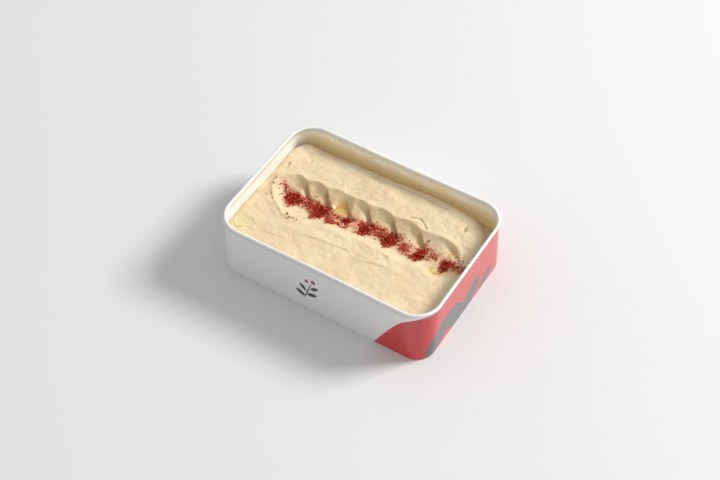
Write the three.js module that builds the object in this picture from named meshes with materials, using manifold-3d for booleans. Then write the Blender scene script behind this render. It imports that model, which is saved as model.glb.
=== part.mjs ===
// Hummus in a rectangular paperboard tub, with a spooned trough that holds oil and red pepper flakes.
// Millimetres, +Z up, origin at the middle of the tub's foot, +X along the tub's long side.

import * as THREE from 'three';
import { mergeVertices } from 'three/addons/utils/BufferGeometryUtils.js';
import Module from 'manifold-3d';

const wasm = await Module();
wasm.setup();

// Tub: outer size over the rolled rim, and the board it is made of
const tubLength = 172;
const tubWidth = 116.4;
const tubHeight = 48.4;
const boardThickness = 0.8;
const rimRadius = 1.1;
const rimCorner = 19.6;
const footCorner = 15;
const sidePinch = 0.6;
const footHeight = 6;
const footWidth = 2.4;
const footChamfer = 0.3;
const pieceGap = 0.3;

// Where the inside of the tub begins, clear of the wall, and the base's two faces
const insideInset = rimRadius + boardThickness / 2 + pieceGap;
const baseBottom = footHeight + pieceGap;
const baseTop = baseBottom + boardThickness;

// Hummus: a slab with a rounded edge, a gutter beside the back wall and the right wall's back part, and a
// softer rounding where it meets the other walls
const level = 35.5;
const slabBack = 50.3;
const slabBackSwell = { height: 2, x: 32, length: 26 };
const slabCorner = { right: 24, left: 5 };
const slabRight = 80;
const slabRightFlare = { reach: 8, from: -5, to: 22 };
const slabLeft = -80.2;
const slabLeftFlare = { reach: 7.8, from: 32, to: 50 };
const slabEdgeRadius = 2.6;
const gutterSlope = 1.6;
const gutterDepth = 9;
const wallDrop = 2.6;
const wallDropReach = 5;

// Trough: a spooned hollow along the tub, steep at the back and gentle towards the front
const troughLeft = -78;
const troughLeftRun = 16;
const troughDepth = 6.4;
const depthFade = { from: 34, to: 80 };
const floorY = { left: 3.5, right: 6.5, from: -60, to: 20 };
const backCurve = 2.4;
const lip = { y: 21.7, curve: 0.0006, middle: 16, rise: 0.8, width: 2.6, leastWidth: 3 };
const lipEnd = { left: 14, right: { from: 64, length: 11 } };
const nearWidth = { left: 23, right: 19.5, from: -45, to: -20 };
const nearCurve = 2.2;
const nearSoftening = { from: -52, to: -28, flatShare: 0.2 };
const nearEnd = { x: -50, length: 28, power: 1.35 };

// Scallops: the spoon's presses along the back of the trough, wider from left to right. The ridges between
// them are placed by their x where they cross the reference line
const ridges = [-73, -55.5, -38, -20.5, -2.5, 18.7, 40.8, 69.3, 97];
const ridgeSlant = 1;
const ridgeReferenceY = 16;
const scallopDepth = 3.3;
const scallopLift = 0.25;
const scallopStart = { from: 0.05, to: 0.4 };
const scallopFade = { from: 60, to: 76 };
const scallopBottom = 0.85;
const scallopPower = 3;
const scallopReach = 1.8;
const lipSkew = 1.25;

// Oil: shallow pools with level tops, each in a small basin. A pool has its centre, half-widths and depth
const pools = {
  oil_middle: { x: -24.2, y: 10.8, halfLength: 4, halfWidth: 3.2, depth: 1.4 },
  oil_right_front: { x: 63.6, y: -4.4, halfLength: 5.2, halfWidth: 2.8, depth: 1.3 },
  oil_corner: { x: -76.3, y: -39.1, halfLength: 4.2, halfWidth: 5, depth: 1.2 },
};
const poolSink = 0.2;
const basinSlope = 0.9;

// Flakes: crushed red pepper along the trough's floor, thickest in wedges that are wide at the back and
// pointed at the front. A wedge has the middle of its back edge, its point and half its back edge
const flakeSeed = 7;
const flakeWedges = [
  { back: [-62, 8.4], point: [-59, -6.4], halfWidth: 9.5 },
  { back: [-42.5, 12], point: [-38.5, -5.6], halfWidth: 11 },
  { back: [-22.5, 8], point: [-22, -4.5], halfWidth: 10 },
  { back: [-5.5, 12], point: [-0.5, -2], halfWidth: 9.5 },
  { back: [14, 14], point: [20, -2.4], halfWidth: 11 },
  { back: [37, 12], point: [43.5, -2.4], halfWidth: 11.5 },
  { back: [60.5, 12.5], point: [64.5, -1.4], halfWidth: 10.5 },
];
const wedgeNarrowing = 0.78;
const flakesPerWedge = 12;
const flakesBetween = 20;
const flakeSpacing = 2.7;
const flakeTries = 12;
const flakeBand = { left: -68, right: 76, halfWidth: 5.5 };
const flakeLength = { least: 1, most: 1.5 };
const flakeThickness = 0.6;
const strayFlakes = [[-74.6, -8.4], [-49.6, -18.2], [-43.6, -17.8], [-72, 7]];

// How finely the curved forms are cut into facets
const cornerSteps = 8;
const sideSteps = 6;
const rimSteps = 10;
const poolSegments = 16;
const columnWidth = 2.6;
const rowBands = [
  { from: -tubWidth / 2, to: -20, step: 4 },
  { from: -20, to: 30, step: 2.3 },
  { from: 30, to: 46, step: 3.2 },
  { from: 46, to: tubWidth / 2, step: 1.75 },
];

const colours = {
  board: 0xf4f3ef,
  base: 0xefeee9,
  hummus: 0xe9d3ab,
  oil: 0xd9a24a,
};

function clamp01(value) {
  return Math.min(1, Math.max(0, value));
}

function smooth(from, to, value) {
  const share = clamp01((value - from) / (to - from));
  return share * share * (3 - 2 * share);
}

function mix(a, b, share) {
  return a + (b - a) * share;
}

function bump(distance, width) {
  return Math.exp(-((distance / width) ** 2));
}

// A small generator of repeatable random numbers from 0 to 1
function seededRandom(seed) {
  let state = seed;
  return () => {
    state = (state * 1664525 + 1013904223) % 4294967296;
    return state / 4294967296;
  };
}

// The tub's outline in plan at a height, drawn in from the rim's outermost line
function outline(inset, z) {
  const share = z / tubHeight;
  const corner = mix(footCorner, rimCorner, share) - inset;
  const straightX = tubLength / 2 - inset - corner;
  const straightY = tubWidth / 2 - inset - corner;
  const points = [];
  const centres = [[1, 1], [-1, 1], [-1, -1], [1, -1]];
  centres.forEach(([sideX, sideY], quarter) => {
    for (let step = 0; step <= cornerSteps; step++) {
      const angle = (quarter + step / cornerSteps) * Math.PI / 2;
      const x = sideX * straightX + corner * Math.cos(angle);
      const y = sideY * straightY + corner * Math.sin(angle);
      points.push([x, y, z]);
    }
    if (sideX * sideY > 0) {
      for (let step = 1; step < sideSteps; step++) {
        const x = sideX * straightX * (1 - 2 * step / sideSteps);
        const drawnIn = sidePinch * share * Math.cos(Math.PI / 2 * x / straightX) ** 2;
        points.push([x, sideY * (straightY + corner - drawnIn), z]);
      }
    }
  });
  return points;
}

// Joins outlines into one skin. A closed section makes a ring, and an open one is capped at both ends
function loft(section, isRing) {
  const rings = section.map(([inset, z]) => outline(inset, z));
  const count = rings[0].length;
  const positions = rings.flat(2);
  const indices = [];
  const steps = isRing ? rings.length : rings.length - 1;
  for (let ring = 0; ring < steps; ring++) {
    const next = (ring + 1) % rings.length;
    for (let i = 0; i < count; i++) {
      const j = (i + 1) % count;
      indices.push(ring * count + i, ring * count + j, next * count + j);
      indices.push(ring * count + i, next * count + j, next * count + i);
    }
  }
  if (!isRing) {
    const last = rings.length - 1;
    const bottom = rings.length * count;
    positions.push(0, 0, section[0][1], 0, 0, section[last][1]);
    for (let i = 0; i < count; i++) {
      const j = (i + 1) % count;
      indices.push(bottom, j, i);
      indices.push(bottom + 1, last * count + i, last * count + j);
    }
  }
  return geometryFrom(positions, indices);
}

function geometryFrom(positions, indices) {
  const geometry = new THREE.BufferGeometry();
  geometry.setAttribute('position', new THREE.Float32BufferAttribute(positions, 3));
  geometry.setIndex(indices);
  return geometry;
}

function toSolid(geometry) {
  const bare = geometry.clone();
  bare.deleteAttribute('normal');
  bare.deleteAttribute('uv');
  const merged = mergeVertices(bare);
  return new wasm.Manifold(new wasm.Mesh({
    numProp: 3,
    vertProperties: merged.attributes.position.array,
    triVerts: new Uint32Array(merged.index.array),
  }));
}

function toGeometry(solid) {
  const mesh = solid.getMesh();
  return geometryFrom(mesh.vertProperties, Array.from(mesh.triVerts));
}

// The side wall: one board with a rolled rim, folded round the base's edge at the foot
function wallGeometry() {
  const outerInset = rimRadius - boardThickness / 2;
  const innerInset = rimRadius + boardThickness / 2;
  const footInset = outerInset + footWidth;
  const section = [
    [outerInset + footChamfer, 0],
    [outerInset, footChamfer],
  ];
  const opening = Math.asin(boardThickness / 2 / rimRadius);
  for (let step = 0; step <= rimSteps; step++) {
    const angle = mix(opening, 2 * Math.PI - opening, step / rimSteps);
    const inset = rimRadius - rimRadius * Math.sin(angle);
    const z = tubHeight - rimRadius - rimRadius * Math.cos(angle);
    section.push([inset, z]);
  }
  section.push([innerInset, footHeight]);
  section.push([footInset, footHeight]);
  section.push([footInset, footChamfer]);
  section.push([footInset - footChamfer, 0]);
  return loft(section, true);
}

function baseGeometry() {
  return loft([[insideInset, baseBottom], [insideInset, baseTop]], false);
}

// How far a point lies across its spoon press: 0 on the press's left ridge and 1 on its right one
function pressShare(x, y) {
  const along = x - ridgeSlant * (ridgeReferenceY - y);
  const last = ridges.length - 2;
  const press = Math.min(last, Math.max(0, ridges.findLastIndex((ridge) => ridge <= along)));
  return clamp01((along - ridges[press]) / (ridges[press + 1] - ridges[press]));
}

// One spoon press: it deepens more and more to the right, then climbs steeply to a sharp ridge
function scallop(x, y) {
  const share = pressShare(x, y);
  if (share < scallopBottom) {
    return (share / scallopBottom) ** scallopPower;
  }
  return 1 - smooth(scallopBottom, 1, share);
}

function troughFloorY(x) {
  return mix(floorY.left, floorY.right, smooth(floorY.from, floorY.to, x));
}

// How far the trough reaches back from its floor to its lip
function troughBackWidth(x) {
  const lipY = lip.y - lip.curve * (x - lip.middle) ** 2;
  const leftEnd = clamp01((troughLeft + lipEnd.left - x) / lipEnd.left);
  const rightEnd = clamp01((x - lipEnd.right.from) / lipEnd.right.length);
  const ends = Math.sqrt(Math.max(0, 1 - leftEnd ** 2)) * (1 - rightEnd ** 2);
  const wave = scallopReach * (Math.sin(Math.PI * pressShare(x, lipY) ** lipSkew) - 0.5);
  return Math.max(lip.leastWidth, (lipY - troughFloorY(x) + wave) * ends);
}

// How far the trough reaches forward from its floor. Its left end is rounded
function troughNearWidth(x) {
  const full = mix(nearWidth.left, nearWidth.right, smooth(nearWidth.from, nearWidth.to, x));
  const end = clamp01((nearEnd.x - x) / nearEnd.length);
  return Math.max(0.5, full * (1 - end ** nearEnd.power) ** (1 / nearEnd.power));
}

// The spooned trough: how far it goes below the slab, and the rise along its back lip
function troughRelief(x, y) {
  const floor = troughFloorY(x);
  const leftShare = smooth(troughLeft, troughLeft + troughLeftRun, x);
  const depthShare = leftShare * (1 - smooth(depthFade.from, depthFade.to, x));
  if (y >= floor) {
    const width = troughBackWidth(x);
    const share = (y - floor) / width;
    const rise = lip.rise * bump(y - floor - width, lip.width) * leftShare;
    if (share >= 1) {
      return rise;
    }
    const pressed = smooth(scallopStart.from, scallopStart.to, share) * (1 - share ** 8);
    const pressShown = leftShare * (1 - smooth(scallopFade.from, scallopFade.to, x));
    const press = scallopDepth * pressed * pressShown * (scallop(x, y) - scallopLift);
    return rise * share ** 3 - depthShare * troughDepth * (1 - share ** backCurve) - press;
  }
  const share = clamp01((floor - y) / troughNearWidth(x));
  const crisp = 1 - share ** nearCurve;
  const soft = 1 - smooth(nearSoftening.flatShare, 1, share);
  return -troughDepth * depthShare * mix(crisp, soft, smooth(nearSoftening.from, nearSoftening.to, x));
}

// Distance inside the slab near a rounded corner, from the distances inside its two sides
function cornerInside(fromSide, fromBack, radius) {
  if (fromSide < radius && fromBack < radius) {
    return radius - Math.hypot(radius - fromSide, radius - fromBack);
  }
  return Math.min(fromSide, fromBack);
}

function slabInside(x, y) {
  const fromBack = slabBack + slabBackSwell.height * bump(x - slabBackSwell.x, slabBackSwell.length) - y;
  const rightFlare = slabRightFlare.reach * (1 - smooth(slabRightFlare.from, slabRightFlare.to, y));
  const leftFlare = slabLeftFlare.reach * (1 - smooth(slabLeftFlare.from, slabLeftFlare.to, y));
  const atRight = cornerInside(slabRight + rightFlare - x, fromBack, slabCorner.right);
  const atLeft = cornerInside(x - slabLeft + leftFlare, fromBack, slabCorner.left);
  return Math.min(atRight, atLeft);
}

// The slab's rounded edge, and the gutter outside it
function edgeDrop(x, y) {
  const inside = slabInside(x, y);
  if (inside >= slabEdgeRadius) {
    return 0;
  }
  if (inside > 0) {
    const run = slabEdgeRadius - inside;
    return slabEdgeRadius - Math.sqrt(slabEdgeRadius ** 2 - run ** 2);
  }
  return Math.min(gutterDepth, slabEdgeRadius - gutterSlope * inside);
}

// How far the hummus rounds down where it meets the wall
function wallRounding(x, y) {
  const corner = rimCorner - insideInset;
  const fromSide = tubLength / 2 - insideInset - Math.abs(x);
  const fromEnd = tubWidth / 2 - insideInset - Math.abs(y);
  const gap = cornerInside(fromSide, fromEnd, corner);
  return wallDrop * clamp01(1 - gap / wallDropReach) ** 2;
}

// Long shallow steps where the spoon smeared one layer over another
const smears = [
  { fromX: -37, toX: 8, startY: -27.4, endY: -21.5, height: 0.8, length: 11 },
  { fromX: 9, toX: 34, startY: -27.6, endY: -20.5, height: 0.7, length: 9 },
];

function smearRelief(x, y) {
  return smears.reduce((sum, smear) => {
    const share = (x - smear.fromX) / (smear.toX - smear.fromX);
    const lineY = mix(smear.startY, smear.endY, share);
    const ends = smooth(0, 0.25, share) * (1 - smooth(0.75, 1, share));
    const behind = y - lineY;
    return sum + smear.height * ends * smooth(-1, 1, behind) * (1 - smooth(1, smear.length, behind));
  }, 0);
}

// Small pits that trapped air has left in the slab, and a hollow against the left wall
const hollows = [
  { x: -77.6, y: 24.6, length: 2.4, width: 2.4, depth: 0.9 },
  { x: -65.1, y: 35.1, length: 2.4, width: 2.4, depth: 0.9 },
  { x: 62.4, y: 36.8, length: 2.4, width: 3.2, depth: 0.9 },
  { x: -81.5, y: 3, length: 3.2, width: 8, depth: 2.4 },
];

// The folded flap on the trough's back lip
const flap = { x: 31.5, y: 25.2, length: 8, width: 2.6, height: 1.2 };

// Broad unevenness of the slab, a millimetre or less
function swellAt(x, y) {
  const broad = 0.45 * Math.sin(x / 31 + 1.1) * Math.sin(y / 23 - 0.6);
  const narrow = 0.25 * Math.sin(x / 13.7 + y / 17.1);
  return broad + narrow;
}

// The hummus surface without the basins that hold oil
function groundAt(x, y) {
  const flapRise = flap.height * bump(x - flap.x, flap.length) * bump(y - flap.y, flap.width);
  const hollowDrop = hollows.reduce((sum, hollow) => (
    sum + hollow.depth * bump(x - hollow.x, hollow.length) * bump(y - hollow.y, hollow.width)
  ), 0);
  const raised = level + swellAt(x, y) + troughRelief(x, y) + smearRelief(x, y) + flapRise;
  return raised - hollowDrop - edgeDrop(x, y) - wallRounding(x, y);
}

// A pool's top is level, a little under the lowest hummus round it
function poolLevel(pool) {
  let lowest = Infinity;
  for (let i = 0; i < poolSegments; i++) {
    const angle = 2 * Math.PI * i / poolSegments;
    const x = pool.x + pool.halfLength * Math.cos(angle);
    const y = pool.y + pool.halfWidth * Math.sin(angle);
    lowest = Math.min(lowest, groundAt(x, y));
  }
  return lowest - poolSink;
}

const basins = Object.values(pools).map((pool) => ({ ...pool, rim: poolLevel(pool) + poolSink }));

function heightAt(x, y) {
  return basins.reduce((height, basin) => {
    const reach = Math.hypot((x - basin.x) / basin.halfLength, (y - basin.y) / basin.halfWidth);
    const radius = (basin.halfLength + basin.halfWidth) / 2;
    return Math.min(height, basin.rim + basinSlope * radius * Math.max(0, reach - 1));
  }, groundAt(x, y));
}

function gridRows() {
  const rows = [];
  rowBands.forEach(({ from, to, step }) => {
    const count = Math.round((to - from) / step);
    for (let i = 0; i < count; i++) {
      rows.push(mix(from, to, i / count));
    }
  });
  rows.push(tubWidth / 2);
  return rows;
}

// A block whose top is the hummus surface: a grid above, the same grid's edge below
function surfaceBlock() {
  const rows = gridRows();
  const columnCount = Math.round(tubLength / columnWidth);
  const positions = [];
  for (const y of rows) {
    for (let i = 0; i <= columnCount; i++) {
      const x = mix(-tubLength / 2, tubLength / 2, i / columnCount);
      positions.push(x, y, heightAt(x, y));
    }
  }
  const stride = columnCount + 1;
  const indices = [];
  for (let row = 0; row + 1 < rows.length; row++) {
    for (let i = 0; i < columnCount; i++) {
      const corner = row * stride + i;
      indices.push(corner, corner + 1, corner + stride);
      indices.push(corner + 1, corner + stride + 1, corner + stride);
    }
  }
  const edge = [];
  for (let i = 0; i < columnCount; i++) {
    edge.push(i);
  }
  for (let row = 0; row + 1 < rows.length; row++) {
    edge.push(row * stride + columnCount);
  }
  for (let i = columnCount; i > 0; i--) {
    edge.push((rows.length - 1) * stride + i);
  }
  for (let row = rows.length - 1; row > 0; row--) {
    edge.push(row * stride);
  }
  const below = positions.length / 3;
  edge.forEach((vertex) => positions.push(positions[3 * vertex], positions[3 * vertex + 1], 0));
  const middle = below + edge.length;
  positions.push(0, 0, 0);
  edge.forEach((vertex, k) => {
    const next = (k + 1) % edge.length;
    indices.push(vertex, below + k, below + next);
    indices.push(vertex, below + next, edge[next]);
    indices.push(middle, below + next, below + k);
  });
  return toSolid(geometryFrom(positions, indices));
}

function poolBowl(pool, margin) {
  const bowl = new THREE.SphereGeometry(1, poolSegments, poolSegments / 2);
  bowl.rotateX(Math.PI / 2);
  bowl.scale(pool.halfLength + margin, pool.halfWidth + margin, pool.depth + margin);
  bowl.translate(pool.x, pool.y, poolLevel(pool));
  return toSolid(bowl);
}

// A pool is the lower half of a flat ellipsoid, cut off level at its top
function poolGeometry(pool) {
  const below = new THREE.BoxGeometry(4 * pool.halfLength, 4 * pool.halfWidth, 4 * pool.depth);
  below.translate(pool.x, pool.y, poolLevel(pool) - 2 * pool.depth);
  return toGeometry(poolBowl(pool, 0).intersect(toSolid(below)));
}

function isClearOfPools(x, y) {
  const margin = 2 * flakeLength.most;
  return Object.values(pools).every((pool) => {
    const across = (x - pool.x) / (pool.halfLength + margin);
    const along = (y - pool.y) / (pool.halfWidth + margin);
    return Math.hypot(across, along) > 1;
  });
}

// Where the flakes lie: dense in the wedges, thinner between them, and a few strays. No two overlap
function flakePlaces(random) {
  const places = strayFlakes.slice();
  const around = () => random() + random() - 1;
  const isFree = ([x, y]) => isClearOfPools(x, y)
    && places.every(([otherX, otherY]) => Math.hypot(x - otherX, y - otherY) > flakeSpacing);
  const placeOne = (draw) => {
    for (let attempt = 0; attempt < flakeTries; attempt++) {
      const place = draw();
      if (isFree(place)) {
        places.push(place);
        return;
      }
    }
  };
  flakeWedges.forEach(({ back, point, halfWidth }) => {
    for (let i = 0; i < flakesPerWedge; i++) {
      placeOne(() => {
        const forward = random();
        const aside = halfWidth * (1 - wedgeNarrowing * forward) * around();
        return [mix(back[0], point[0], forward) + aside, mix(back[1], point[1], forward)];
      });
    }
  });
  for (let i = 0; i < flakesBetween; i++) {
    placeOne(() => {
      const x = mix(flakeBand.left, flakeBand.right, (i + random()) / flakesBetween);
      return [x, troughFloorY(x) - 0.5 + flakeBand.halfWidth * around()];
    });
  }
  return places;
}

// The lowest hummus under a flake
function flakeBed(x, y, reach) {
  const around = [[0, 0], [reach, 0], [-reach, 0], [0, reach], [0, -reach]];
  return Math.min(...around.map(([dx, dy]) => heightAt(x + dx, y + dy)));
}

function flakeSolid(x, y, random) {
  const length = mix(flakeLength.least, flakeLength.most, random());
  const flake = new THREE.IcosahedronGeometry(1, 0);
  flake.scale(length, length * mix(0.55, 0.8, random()), flakeThickness);
  flake.rotateX(mix(-0.4, 0.4, random()));
  flake.rotateZ(2 * Math.PI * random());
  flake.translate(x, y, flakeBed(x, y, length) + flakeThickness / 2);
  return toSolid(flake);
}

function hummusGeometry() {
  const random = seededRandom(flakeSeed);
  const space = toSolid(loft([[insideInset, baseTop + pieceGap], [insideInset, tubHeight]], false));
  let solid = surfaceBlock().intersect(space);
  for (const pool of Object.values(pools)) {
    solid = solid.subtract(poolBowl(pool, pieceGap));
  }
  for (const [x, y] of flakePlaces(random)) {
    solid = solid.add(flakeSolid(x, y, random));
  }
  return toGeometry(solid);
}

function finish(colour, roughness) {
  return new THREE.MeshStandardMaterial({ color: colour, roughness, metalness: 0 });
}

function piece(name, geometry, material) {
  const mesh = new THREE.Mesh(geometry, material);
  mesh.name = name;
  return mesh;
}

const tubOfHummus = new THREE.Group();
tubOfHummus.add(piece('tub_wall', wallGeometry(), finish(colours.board, 0.55)));
tubOfHummus.add(piece('tub_base', baseGeometry(), finish(colours.base, 0.6)));
tubOfHummus.add(piece('hummus', hummusGeometry(), finish(colours.hummus, 0.5)));
for (const [name, pool] of Object.entries(pools)) {
  tubOfHummus.add(piece(name, poolGeometry(pool), finish(colours.oil, 0.1)));
}

export default tubOfHummus;
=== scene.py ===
# Hummus in a rectangular paperboard tub: the looks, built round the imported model.
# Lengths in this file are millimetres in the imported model's frame, and MM turns them into metres. The names
# left, right, front and back are the tub's -X, +X, -Y and +Y sides.

import math

import bpy
import numpy as np
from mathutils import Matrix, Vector


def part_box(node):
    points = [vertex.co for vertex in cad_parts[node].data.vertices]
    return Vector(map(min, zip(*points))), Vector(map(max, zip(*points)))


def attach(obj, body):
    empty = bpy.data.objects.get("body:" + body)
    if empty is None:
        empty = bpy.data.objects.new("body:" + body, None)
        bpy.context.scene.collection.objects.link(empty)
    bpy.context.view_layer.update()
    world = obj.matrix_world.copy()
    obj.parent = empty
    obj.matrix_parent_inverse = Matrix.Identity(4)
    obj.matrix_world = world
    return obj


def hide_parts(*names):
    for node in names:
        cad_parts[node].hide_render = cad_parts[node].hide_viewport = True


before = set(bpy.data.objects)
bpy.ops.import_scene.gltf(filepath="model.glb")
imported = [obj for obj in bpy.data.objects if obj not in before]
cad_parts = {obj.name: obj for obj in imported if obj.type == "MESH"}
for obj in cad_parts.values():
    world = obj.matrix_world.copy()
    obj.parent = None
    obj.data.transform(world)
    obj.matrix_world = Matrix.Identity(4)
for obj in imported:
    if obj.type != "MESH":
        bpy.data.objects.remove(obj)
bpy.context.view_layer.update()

MM = 0.001
scene = bpy.context.scene

# Tub, read from the frame where it can be
WALL_LOW, WALL_HIGH = (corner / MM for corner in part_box("tub_wall"))
BASE_LOW, BASE_HIGH = (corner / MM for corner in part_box("tub_base"))
TUB_LENGTH = WALL_HIGH.x - WALL_LOW.x
TUB_WIDTH = WALL_HIGH.y - WALL_LOW.y
TUB_HEIGHT = WALL_HIGH.z
BOARD = BASE_HIGH.z - BASE_LOW.z
RIM_RADIUS = 1.1
RIM_CORNER = 19.6
FOOT_CORNER = 15.0
SIDE_PINCH = 0.6
FOOT_HEIGHT = 6.0
FOOT_WIDTH = 2.4
WALL_OUTER = RIM_RADIUS - BOARD / 2
WALL_INNER = RIM_RADIUS + BOARD / 2

# Wall section: its small roundings, the slits between the foot's board layers, and the heights of its rows
FOOT_FILLET = 0.3
HEM_FILLET = 0.1
SLIT_WIDTH = 0.12
SLIT_DEPTH = 0.9
HEM_ROW = 3.0
OUTSIDE_ROWS = (FOOT_FILLET, HEM_ROW, FOOT_HEIGHT + 1, 15.0, 25.0, 35.0, 42.0)
INSIDE_ROWS = (42.0, 38.0, 34.0, 28.0, 18.0, FOOT_HEIGHT + 0.3)
RIM_STEPS = 18

# Base panel: its gap to the wall, and the bevel of its lower edge
BASE_GAP = 0.02
BASE_BEVEL = 0.2
BASE_BEVEL_HEIGHT = 0.15

# Hummus: its level, and the slab's rounded edge beside the back wall and the right wall's back part. Here and
# below, a pair of numbers is where a soft change begins and ends
LEVEL = 35.5
SLAB_BACK = 50.3
SLAB_SWELL = 2.0
SLAB_SWELL_X = 32.0
SLAB_SWELL_LENGTH = 26.0
SLAB_BACK_CORNER = 24.0
SLAB_LEFT = -80.2
SLAB_LEFT_FLARE = 7.8
SLAB_LEFT_FLARE_Y = (32.0, 50.0)
SLAB_LEFT_CORNER = 5.0
SLAB_RIGHT = 80.0
SLAB_RIGHT_FLARE = 8.0
SLAB_RIGHT_FLARE_Y = (-5.0, 22.0)
SLAB_EDGE_RADIUS = 2.6
GUTTER_SLOPE = 1.6
GUTTER_DEPTH = 9.0
WALL_DROP = 2.6
WALL_DROP_REACH = 5.0

# Trough: its floor line, its back with the lip above it, and its near side
TROUGH_LEFT = -78.0
TROUGH_LEFT_RUN = 16.0
TROUGH_DEPTH = 6.4
DEPTH_FADE = (34.0, 80.0)
FLOOR_Y_LEFT = 3.5
FLOOR_Y_RIGHT = 6.5
FLOOR_Y_CHANGE = (-60.0, 20.0)
BACK_CURVE = 2.4
LEAST_BACK_WIDTH = 3.0
LIP_Y = 21.7
LIP_CURVE = 0.0006
LIP_MIDDLE = 16.0
LIP_RISE = 0.8
LIP_WIDTH = 2.6
LIP_LEFT_END = 14.0
LIP_RIGHT_X = 64.0
LIP_RIGHT_END = 11.0
NEAR_WIDTH_LEFT = 23.0
NEAR_WIDTH_RIGHT = 19.5
NEAR_WIDTH_CHANGE = (-45.0, -20.0)
LEAST_NEAR_WIDTH = 0.5
NEAR_CURVE = 2.2
NEAR_SOFTENING = (-52.0, -28.0)
NEAR_FLAT_SHARE = 0.2
NEAR_END = -50.0
NEAR_END_LENGTH = 28.0
NEAR_END_POWER = 1.35

# Scallops: the spoon's presses along the trough's back, between ridges placed by their x on a reference line
RIDGES = [-73.0, -55.5, -38.0, -20.5, -2.5, 18.7, 40.8, 69.3, 97.0]
RIDGE_SLANT = 1.0
RIDGE_REFERENCE_Y = 16.0
SCALLOP_DEPTH = 3.3
SCALLOP_LIFT = 0.25
SCALLOP_START = (0.05, 0.4)
SCALLOP_END_POWER = 10
SCALLOP_FADE = (60.0, 76.0)
SCALLOP_BOTTOM = 0.85
SCALLOP_POWER = 3.0
SCALLOP_REACH = 1.8
LIP_SKEW = 1.25

# Ridge that the spoon pushed up round the trough's near left end, and the groove outside it. Out is the
# distance from the trough's outline
END_RIDGE, END_RIDGE_OUT, END_RIDGE_WIDTH = 0.7, -0.5, 1.5
END_GROOVE, END_GROOVE_OUT, END_GROOVE_WIDTH = 0.8, 1.5, 1.3
END_RIM_FADE_X = (-54.0, -40.0)
END_RIM_FADE_Y = (6.0, 13.0)

# Marks in the surface: smears of the spoon, pits, a hollow at the left wall, a torn flap with a crack behind
# it, and a double crease along the slab's back. A smear has two ends, a height and a length behind them, and
# a pit, a hollow or a flap has a centre, a length and a width
SMEARS = [
    ((-37, -27.4), (8, -21.5), 0.8, 11),
    ((9, -27.6), (34, -20.5), 0.7, 9),
    ((-60, -38.6), (-38, -36.0), 0.45, 8),
    ((-3, -9.6), (17, -12.8), 0.5, 4),
    ((19, -10.8), (33, -14.6), 0.5, 4),
]
PITS = [(-77.6, 24.6, 1.0, 1.7), (-65.1, 35.1, 0.9, 1.4), (62.4, 36.8, 1.0, 2.6)]
PIT_DEPTH = 1.5
WALL_HOLLOW = (-81.5, 3.0, 3.2, 8.0)
WALL_HOLLOW_DEPTH = 2.4
FLAP = (31.5, 25.4, 7.0, 2.4)
FLAP_HEIGHT = 1.3
CRACK = dict(x=30.9, y=29.1, left_fall=0.42, right_fall=0.7, depth=1.2, width=0.7)
CRACK_ENDS = ((-9, -6), (7, 11))
BACK_CREASE_Y = 46.3
BACK_CREASE_DEPTH = 0.8
BACK_CREASE_WIDTH = 0.5
BACK_CREASE_ENDS = ((-46, -38), (36, 50))
SECOND_CREASE_GAP = 1.9
SECOND_CREASE_SHARE = 0.7
SECOND_CREASE_ENDS = ((-40, -32), (0, 12))

# Painted shade in the hollows of the hummus, as shares of its darkest tint: a press's crease lies near its
# right end
PIT_TINT = 0.5
CREASE_TINT = 0.9
CREASE_PLACE = 0.93
CREASE_WIDTH = 0.085
CRACK_TINT = 0.6
END_GROOVE_TINT = 0.3
# Painted shade along a line below the trough's near left end, and over the left end
GROOVE_LINE_SHADE = (-50.0, -17.5, 5.0, 1.8)
GROOVE_LINE_TINT = 0.8
LEFT_END_SHADE = (-74.0, -3.0, 5.5, 8.0)
LEFT_END_TINT = 0.26

# Hummus mesh: its grid, and how far it reaches into the gap to the wall, the base and a pool
HUMMUS_COLUMNS = 350
HUMMUS_ROWS = 240
WALL_REACH = 0.05
BASE_REACH = 0.02
POOL_GAP = 0.25

# Pools: how steeply the hummus rises round each, how far one reaches past its solid, and its curled-up edge
POOLS = {"oil_middle": 0.9, "oil_right_front": 0.35, "oil_corner": 0.3}
POOL_REACH = 0.35
POOL_SINK = 0.04
POOL_CURL = 0.2
POOL_CURL_FROM = 0.75
POOL_EDGE = 0.08
POOL_RINGS = 9
POOL_SEGMENTS = 40

# Camera, at the photograph's angle
CAMERA_AZIMUTH = 31.7
CAMERA_ELEVATION = 50.1
CAMERA_DISTANCE = 1049.0
CAMERA_RIGHT = -1.3
CAMERA_UP = 14.2
LENS_PIXELS = 1456.0
FRAME_PIXELS = 720.0
SENSOR = 36.0

# Key light and sky
LIGHT_ELEVATION = 37.0
LIGHT_ANGLE = 45.8
LIGHT_DISTANCE = 3000.0
LIGHT_SIZE = 900.0
LIGHT_POWER = 83.0
LIGHT_COLOUR = (1.0, 0.985, 0.955)
SKY_STRENGTH = 0.50
SKY_COLOUR = (1.0, 0.985, 0.97, 1)
FLOOR_HALF = 3000.0


# Shares and noise

def smooth(low, high, value):
    share = np.clip((value - low) / (high - low), 0.0, 1.0)
    return share * share * (3 - 2 * share)


def between(value, start, end):
    """1 between two soft ends, each of which is a pair of places, and 0 outside them."""
    return smooth(*start, value) * (1 - smooth(*end, value))


def mix(a, b, share):
    return a + (b - a) * share


def bump(distance, width):
    return np.exp(-((distance / width) ** 2))


def mound(x, y, centre_x, centre_y, length, width):
    """1 at a mound's middle, with a soft fall to 0 all round."""
    return bump(x - centre_x, length) * bump(y - centre_y, width)


def ellipse_share(x, y, centre_x, centre_y, length, width):
    """0 at an ellipse's centre and 1 on its outline, with length and width as its two radii."""
    return np.hypot((x - centre_x) / length, (y - centre_y) / width)


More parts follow.
